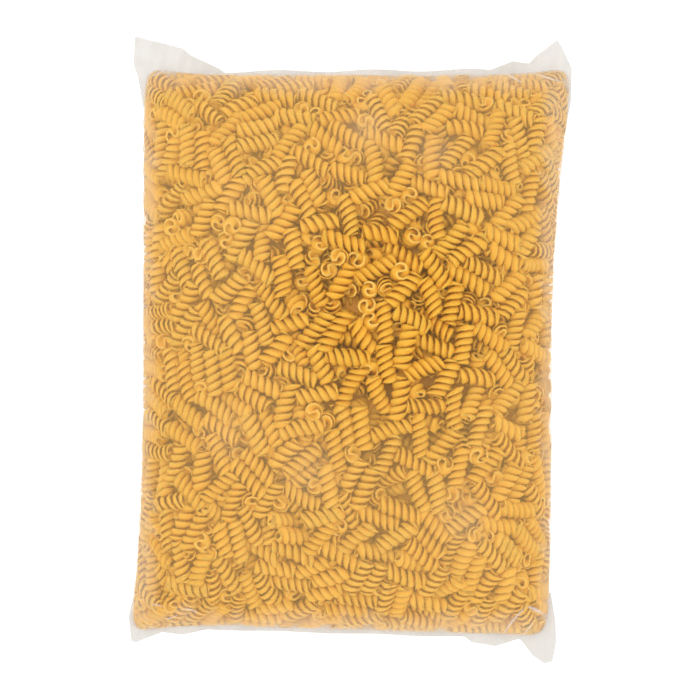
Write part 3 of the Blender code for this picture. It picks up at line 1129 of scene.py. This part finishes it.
@dataclass
class EndFin:
    """The sealed fin at one end, with an ear at each corner."""

    name: str
    left_ear: tuple[tuple[float, float], ...]
    right_ear: tuple[tuple[float, float], ...]
    left_y: float
    right_y: float
    depth: float = 0.026
    root_width: float = 0.90
    thickness: float = 0.0004
    wave: float = 0.0025
    wave_length: float = 0.070
    edge_wave: float = 0.0006
    edge_wave_length: float = 0.069
    step: float = 0.0020
    rows: int = 18
    crumple: float = 0.0011

    def outer_edge(self) -> np.ndarray:
        """Return the fin's outer edge as evenly spaced points, ear to ear."""
        middle = []
        for x in np.linspace(self.left_ear[-1][0], self.right_ear[-1][0], 40)[1:-1]:
            share = x / 0.2944 + 0.5
            wave = self.edge_wave * math.sin(x / self.edge_wave_length * 2 * math.pi)
            middle.append((x, self.left_y + (self.right_y - self.left_y) * share + wave))
        line = np.array(list(self.left_ear) + middle + list(reversed(self.right_ear)))
        walked = np.concatenate(([0.0], np.cumsum(np.linalg.norm(np.diff(line, axis=0), axis=1))))
        even = np.linspace(0.0, walked[-1], round(walked[-1] / self.step) + 1)
        return np.stack([np.interp(even, walked, line[:, axis]) for axis in (0, 1)], axis=1)

    def build(self, form: BagForm, finish: "FilmFinish") -> bpy.types.Object:
        """Build the crumpled double film of the fin.

        Args:
            form: The bag's smooth form.
            finish: The fin's finish.

        Returns:
            The object.
        """
        outer = self.outer_edge()
        inward = -1.0 if self.left_y > 0 else 1.0
        root_x = np.clip(outer[:, 0], self.root_width * outer[0, 0], self.root_width * outer[-1, 0])
        root = np.stack((root_x, np.full(len(outer), self.left_y + inward * self.depth)), axis=1)
        share = np.linspace(0.0, 1.0, self.rows + 1)[:, None, None]
        plan = outer * (1.0 - share) + root * share
        height = form.seal_height + self.wave * np.sin(plan[..., 0] / self.wave_length * 2 * np.pi)
        height = height + self.crumple * self.crumples(plan) * (1.0 - 0.7 * share[..., 0])
        sheets = []
        for side in (1.0, -1.0):
            edge = np.minimum(share[..., 0] * 6.0, 1.0) * side * self.thickness / 2
            sheets.append(np.concatenate((plan, (height + edge)[..., None]), axis=-1))
        size = plan.shape[0] * plan.shape[1]
        index = np.arange(size).reshape(plan.shape[:2])
        low = index + size
        low[0] = index[0]
        top = np.stack((index[:-1, :-1], index[1:, :-1], index[1:, 1:], index[:-1, 1:]), axis=-1)
        under = np.stack((low[:-1, :-1], low[:-1, 1:], low[1:, 1:], low[1:, :-1]), axis=-1)
        faces = np.concatenate((top.reshape(-1, 4), under.reshape(-1, 4)))
        points = np.concatenate(sheets).reshape(-1, 3)
        work = bmesh.new()
        work.from_mesh(mesh_from("fin", points, faces))
        bmesh.ops.delete(work, geom=[v for v in work.verts if not v.link_faces], context="VERTS")
        open_edges = [edge for edge in work.edges if edge.is_boundary]
        bmesh.ops.holes_fill(work, edges=open_edges)
        bmesh.ops.recalc_face_normals(work, faces=work.faces[:])
        mesh = bpy.data.meshes.new(self.name)
        work.to_mesh(mesh)
        work.free()
        for name in ("gap", "haze"):
            store(mesh, name, "FLOAT", np.ones(len(mesh.vertices)))
        mesh.shade_smooth()
        mesh.set_sharp_from_angle(angle=math.radians(50))
        fin = object_from(self.name, mesh)
        fin.data.materials.append(finish.material())
        return fin

    def crumples(self, plan: np.ndarray) -> np.ndarray:
        """Return sharp-edged crumples over the fin, from about -1 to 1."""
        x, y = plan[..., 0], plan[..., 1]
        total = np.zeros_like(x)
        for turn, (angle, length) in enumerate(((0.4, 0.019), (1.3, 0.013), (2.2, 0.016), (2.9, 0.009))):
            place = (x * math.cos(angle) + y * math.sin(angle)) / length + 0.37 * turn
            total += np.abs(place % 1.0 - 0.5) * 4.0 - 1.0
        return total / 4.0


def mask_group() -> bpy.types.NodeTree:
    """Build the shader group that the finishes share: a soft mottle and a fine grain.

    Returns:
        The group. Its inputs are sizes, and its outputs are two masks from 0 to 1.
    """
    name = "mottle_and_grain"
    if name in bpy.data.node_groups:
        return bpy.data.node_groups[name]
    tree = bpy.data.node_groups.new(name, "ShaderNodeTree")
    face = tree.interface
    face.new_socket("Mottle Scale", in_out="INPUT", socket_type="NodeSocketFloat")
    face.new_socket("Grain Scale", in_out="INPUT", socket_type="NodeSocketFloat")
    face.new_socket("Mottle", in_out="OUTPUT", socket_type="NodeSocketFloat")
    face.new_socket("Grain", in_out="OUTPUT", socket_type="NodeSocketFloat")
    given = add_node(tree, "NodeGroupInput")
    result = add_node(tree, "NodeGroupOutput")
    place = add_node(tree, "ShaderNodeTexCoord")
    for title, detail in (("Mottle", 3.0), ("Grain", 2.0)):
        noise = add_node(tree, "ShaderNodeTexNoise")
        noise.inputs["Detail"].default_value = detail
        tree.links.new(place.outputs["Object"], noise.inputs["Vector"])
        tree.links.new(given.outputs[f"{title} Scale"], noise.inputs["Scale"])
        tree.links.new(noise.outputs["Fac"], result.inputs[title])
    return tree


@dataclass(frozen=True)
class PastaFinish:
    """Dry golden pasta with a matt, faintly rough skin."""

    name: str = "dry_pasta"
    # The ramp from deep to pale carries each piece's random tone and mottle, and also the painted shade and
    # light.
    deep: Colour = (0.87, 0.430, 0.024, 1.0)
    body: Colour = (0.88, 0.490, 0.040, 1.0)
    pale: Colour = (0.89, 0.560, 0.090, 1.0)
    cut: Colour = (0.89, 0.560, 0.105, 1.0)
    reach_share: float = 0.28
    tone_share: float = 0.26
    painted_film_light_share: float = 0.34
    mottle_share: float = 0.16
    roughness: float = 0.55
    skin: float = 0.25
    glow: float = 0.40
    glow_radius: tuple[float, float, float] = (1.0, 0.80, 0.50)
    glow_scale: float = 0.0013

    def material(self) -> bpy.types.Material:
        """Return the pasta's material: each piece's tone, with painted shade towards its middle and painted
        light at its rims and away from the clear patch.
        """
        material, shader = blank_material(self.name)
        tree = material.node_tree
        link = tree.links.new
        tone = add_node(tree, "ShaderNodeAttribute", attribute_name="tone")
        shade = add_node(tree, "ShaderNodeAttribute", attribute_name="shade")
        reach = add_node(tree, "ShaderNodeAttribute", attribute_name="reach")
        masks = add_node(tree, "ShaderNodeGroup", node_tree=mask_group())
        masks.inputs["Mottle Scale"].default_value = 160.0
        masks.inputs["Grain Scale"].default_value = 2600.0
        ramp = add_node(tree, "ShaderNodeValToRGB")
        ramp.color_ramp.elements[0].position = 0.0
        ramp.color_ramp.elements[0].color = self.deep
        ramp.color_ramp.elements[1].position = 1.0
        ramp.color_ramp.elements[1].color = self.pale
        middle = ramp.color_ramp.elements.new(0.5)
        middle.color = self.body
        # Painted shade and light: the colour darkens towards each piece's middle, between its lobes, and
        # pales at its thin rims.
        inner = add_node(tree, "ShaderNodeMapRange")
        inner.inputs["From Min"].default_value = 0.2
        inner.inputs["To Max"].default_value = self.reach_share
        link(reach.outputs["Fac"], inner.inputs["Value"])
        # The shade attribute paints light: paler pasta away from the clear patch, darker pasta in it.
        shares = ((tone, self.tone_share), (shade, self.painted_film_light_share), (masks, self.mottle_share))
        total = inner.outputs["Result"]
        for source, share in shares:
            step = add_node(tree, "ShaderNodeMath", operation="MULTIPLY_ADD")
            step.inputs[1].default_value = share
            link(source.outputs["Mottle" if source is masks else "Fac"], step.inputs[0])
            link(total, step.inputs[2])
            total = step.outputs[0]
        link(total, ramp.inputs["Fac"])
        cut = add_node(tree, "ShaderNodeAttribute", attribute_name="cut")
        floury = add_node(tree, "ShaderNodeMix", data_type="RGBA")
        floury.inputs["B"].default_value = self.cut
        link(cut.outputs["Fac"], floury.inputs["Factor"])
        link(ramp.outputs["Color"], floury.inputs["A"])
        link(floury.outputs["Result"], shader.inputs["Base Color"])
        shader.inputs["Roughness"].default_value = self.roughness
        shader.inputs["Specular IOR Level"].default_value = 0.3
        shader.inputs["Subsurface Weight"].default_value = self.glow
        shader.inputs["Subsurface Radius"].default_value = self.glow_radius
        shader.inputs["Subsurface Scale"].default_value = self.glow_scale
        bump = add_node(tree, "ShaderNodeBump")
        bump.inputs["Strength"].default_value = self.skin
        bump.inputs["Distance"].default_value = 0.0002
        link(masks.outputs["Grain"], bump.inputs["Height"])
        link(bump.outputs["Normal"], shader.inputs["Normal"])
        return material


@dataclass(frozen=True)
class CoreFinish:
    """The brown shade between the pieces, deep in the heap."""

    name: str = "shaded_heap"
    dark: Colour = (0.82, 0.400, 0.065, 1.0)
    light: Colour = (0.93, 0.500, 0.085, 1.0)

    def material(self) -> bpy.types.Material:
        """Return the core's mottled brown material."""
        material, shader = blank_material(self.name)
        tree = material.node_tree
        masks = add_node(tree, "ShaderNodeGroup", node_tree=mask_group())
        masks.inputs["Mottle Scale"].default_value = 150.0
        masks.inputs["Grain Scale"].default_value = 900.0
        mix = add_node(tree, "ShaderNodeMix", data_type="RGBA")
        mix.inputs["A"].default_value = self.dark
        mix.inputs["B"].default_value = self.light
        tree.links.new(masks.outputs["Mottle"], mix.inputs["Factor"])
        tree.links.new(mix.outputs["Result"], shader.inputs["Base Color"])
        shader.inputs["Roughness"].default_value = 0.8
        bump = add_node(tree, "ShaderNodeBump")
        bump.inputs["Strength"].default_value = 0.6
        bump.inputs["Distance"].default_value = 0.001
        tree.links.new(masks.outputs["Mottle"], bump.inputs["Height"])
        tree.links.new(bump.outputs["Normal"], shader.inputs["Normal"])
        return material


@dataclass(frozen=True)
class FilmFinish:
    """Clear packing film, a little milky where it stands off the pasta, with a veil of painted light in the
    pasta's colour.
    """

    name: str = "clear_film"
    # The cream tint mixes painted light from the pasta into the film's milky white.
    tint: Colour = (1.0, 0.88, 0.72, 1.0)
    painted_scatter_colour: Colour = (0.99, 0.580, 0.190, 1.0)
    clear: float = 0.003
    milky: float = 0.012
    hazy: float = 0.300
    patch: float = 0.006
    grazing: float = 0.10
    roughness: float = 0.30

    def material(self) -> bpy.types.Material:
        """Return the film's material, with its milkiness and its veil of painted light as alpha."""
        material, shader = blank_material(self.name)
        tree = material.node_tree
        link = tree.links.new
        gap = add_node(tree, "ShaderNodeAttribute", attribute_name="gap")
        haze = add_node(tree, "ShaderNodeAttribute", attribute_name="haze")
        masks = add_node(tree, "ShaderNodeGroup", node_tree=mask_group())
        masks.inputs["Mottle Scale"].default_value = 9.0
        masks.inputs["Grain Scale"].default_value = 140.0
        milk = add_node(tree, "ShaderNodeMapRange")
        milk.inputs["To Min"].default_value = self.clear
        milk.inputs["To Max"].default_value = self.milky
        link(gap.outputs["Fac"], milk.inputs["Value"])
        patch = add_node(tree, "ShaderNodeMapRange")
        patch.inputs["From Min"].default_value = 0.42
        patch.inputs["From Max"].default_value = 0.62
        patch.inputs["To Max"].default_value = self.patch
        link(masks.outputs["Mottle"], patch.inputs["Value"])
        layer = add_node(tree, "ShaderNodeLayerWeight")
        layer.inputs["Blend"].default_value = 0.25
        graze = add_node(tree, "ShaderNodeMath", operation="MULTIPLY_ADD")
        graze.inputs[1].default_value = self.grazing
        link(layer.outputs["Facing"], graze.inputs[0])
        link(milk.outputs["Result"], graze.inputs[2])
        total = add_node(tree, "ShaderNodeMath", operation="ADD", use_clamp=True)
        link(graze.outputs[0], total.inputs[0])
        link(patch.outputs["Result"], total.inputs[1])
        veil = add_node(tree, "ShaderNodeMath", operation="MULTIPLY_ADD", use_clamp=True)
        veil.inputs[1].default_value = self.hazy
        link(haze.outputs["Fac"], veil.inputs[0])
        link(total.outputs[0], veil.inputs[2])
        link(veil.outputs[0], shader.inputs["Alpha"])
        # Painted light: where the veil is painted scattered light, the film takes the pasta's colour.
        painted_scatter_share = add_node(tree, "ShaderNodeAttribute", attribute_name="painted_scatter_share")
        colour = add_node(tree, "ShaderNodeMix", data_type="RGBA")
        colour.inputs["A"].default_value = self.tint
        colour.inputs["B"].default_value = self.painted_scatter_colour
        link(painted_scatter_share.outputs["Fac"], colour.inputs["Factor"])
        link(colour.outputs["Result"], shader.inputs["Base Color"])
        shader.inputs["Roughness"].default_value = self.roughness
        bump = add_node(tree, "ShaderNodeBump")
        bump.inputs["Strength"].default_value = 0.35
        bump.inputs["Distance"].default_value = 0.0006
        link(masks.outputs["Grain"], bump.inputs["Height"])
        link(bump.outputs["Normal"], shader.inputs["Normal"])
        return material


def blank_material(name: str) -> tuple[bpy.types.Material, bpy.types.Node]:
    """Make a material and return it with its Principled shader."""
    material = bpy.data.materials.new(name)
    material.use_nodes = True
    return material, material.node_tree.nodes["Principled BSDF"]


@dataclass
class Studio:
    """The pale table, the soft light and the camera that looks straight down."""

    table: float = 6.0
    camera_height: float = 2.0
    frame_width: float = 0.5075
    aim_height: float = 0.052
    sensor: float = 36.0
    sky: float = 0.94

    def build(self) -> None:
        """Set up the table, the lights, the sky and the camera."""
        self.lay_table()
        self.hang_light("overhead", (-0.6, 0.6, 1.9), 1.1, 8.5)
        self.hang_light("fill", (0.9, -1.1, 1.5), 1.6, 5.5)
        self.set_sky()
        self.place_camera()
        bpy.context.scene.view_settings.view_transform = "Standard"

    def lay_table(self) -> None:
        """Lay the pale table that the bag rests on."""
        half = self.table / 2
        corners = np.array(((-half, -half, 0.0), (half, -half, 0.0), (half, half, 0.0), (-half, half, 0.0)))
        table = object_from("table", mesh_from("table", corners, [(0, 1, 2, 3)]))
        material, shader = blank_material("light_table")
        shader.inputs["Base Color"].default_value = (0.04, 0.04, 0.04, 1.0)
        shader.inputs["Roughness"].default_value = 0.9
        shader.inputs["Emission Color"].default_value = (1.0, 1.0, 1.0, 1.0)
        shader.inputs["Emission Strength"].default_value = 1.18
        table.data.materials.append(material)

    def hang_light(self, name: str, place: tuple[float, float, float], size: float, power: float) -> None:
        """Hang a square soft light that faces the bag."""
        lamp = bpy.data.lights.new(name, "AREA")
        lamp.size = size
        lamp.energy = power
        light = bpy.data.objects.new(name, lamp)
        light.location = place
        light.rotation_euler = (-Vector(place)).to_track_quat("-Z", "Y").to_euler()
        bpy.context.scene.collection.objects.link(light)

    def set_sky(self) -> None:
        """Light the scene evenly from all round, as a white tent does."""
        world = bpy.data.worlds.new("white_tent")
        world.use_nodes = True
        world.node_tree.nodes["Background"].inputs["Color"].default_value = (1.0, 1.0, 1.0, 1.0)
        world.node_tree.nodes["Background"].inputs["Strength"].default_value = self.sky
        bpy.context.scene.world = world

    def place_camera(self) -> None:
        """Place the camera above the bag, its frame fitted at the outline's height."""
        lens = bpy.data.cameras.new("camera")
        lens.sensor_width = self.sensor
        lens.lens = self.sensor * (self.camera_height - self.aim_height) / self.frame_width
        camera = bpy.data.objects.new("camera", lens)
        camera.location = (0.0, 0.0, self.camera_height)
        bpy.context.scene.collection.objects.link(camera)
        bpy.context.scene.camera = camera


TOP_FIN = EndFin(
    name="film_top_fin",
    left_ear=(
        (-0.1500, 0.176), (-0.1540, 0.199), (-0.1573, 0.2074), (-0.1559, 0.2277),
        (-0.1365, 0.2226), (-0.1209, 0.2182), (-0.1148, 0.2132), (-0.0955, 0.2045),
    ),
    right_ear=(
        (0.1560, 0.160), (0.1600, 0.180), (0.1606, 0.204), (0.1531, 0.2198), (0.1501, 0.2246),
        (0.1349, 0.2132), (0.1302, 0.2081), (0.1180, 0.2096), (0.1008, 0.2027),
    ),
    left_y=0.2016,
    right_y=0.2035,
)
BOTTOM_FIN = EndFin(
    name="film_bottom_fin",
    left_ear=(
        (-0.1545, -0.172), (-0.1590, -0.1855), (-0.1606, -0.1939), (-0.1587, -0.2110),
        (-0.1557, -0.2124), (-0.1363, -0.2045), (-0.1211, -0.2061), (-0.1088, -0.2036),
    ),
    right_ear=(
        (0.1455, -0.176), (0.1488, -0.1962), (0.1494, -0.2112), (0.1466, -0.2256), (0.1410, -0.2273),
        (0.1327, -0.2217), (0.1233, -0.2095), (0.1056, -0.2147), (0.0880, -0.2116),
    ),
    left_y=-0.2013,
    right_y=-0.2100,
)


def report(piece: bpy.types.Object) -> bpy.types.Object:
    """Tie a finished piece to the bag and log its size.

    Args:
        piece: The finished piece.

    Returns:
        The piece.
    """
    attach(piece, BODY)
    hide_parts(NODE)
    triangles = sum(len(face.vertices) - 2 for face in piece.data.polygons)
    LOG.info("%s: %d triangles", piece.name, triangles)
    return piece


def main() -> None:
    """Build the bag's film and pasta, and the studio round them."""
    logging.basicConfig(level=logging.INFO, format="%(message)s")
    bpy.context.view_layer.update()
    form = BagForm()
    layers = PastaLayers()
    depth = DepthField(form)
    layers.settle(form, depth)
    fill = PastaFill(layers, depth)
    pasta = fill.build(PastaFinish())
    LOG.info("pasta: %d pieces in %d meshes", len(layers.depths), len(pasta))
    for piece in pasta:
        report(piece)
    report(PastaCore().build(form, CoreFinish()))
    film = report(FilmBag().build(form, fill, pasta, FilmFinish()))
    fold_finish = FilmFinish(name="folded_film", tint=(0.86, 0.78, 0.72, 1.0), milky=0.34)
    report(FilmFolds().build(film, fold_finish))
    fin_finish = FilmFinish(name="doubled_film", tint=(0.68, 0.65, 0.60, 1.0), milky=0.22)
    for fin in (TOP_FIN, BOTTOM_FIN):
        report(fin.build(form, fin_finish))
    Studio().build()


if __name__ == "__main__":
    main()
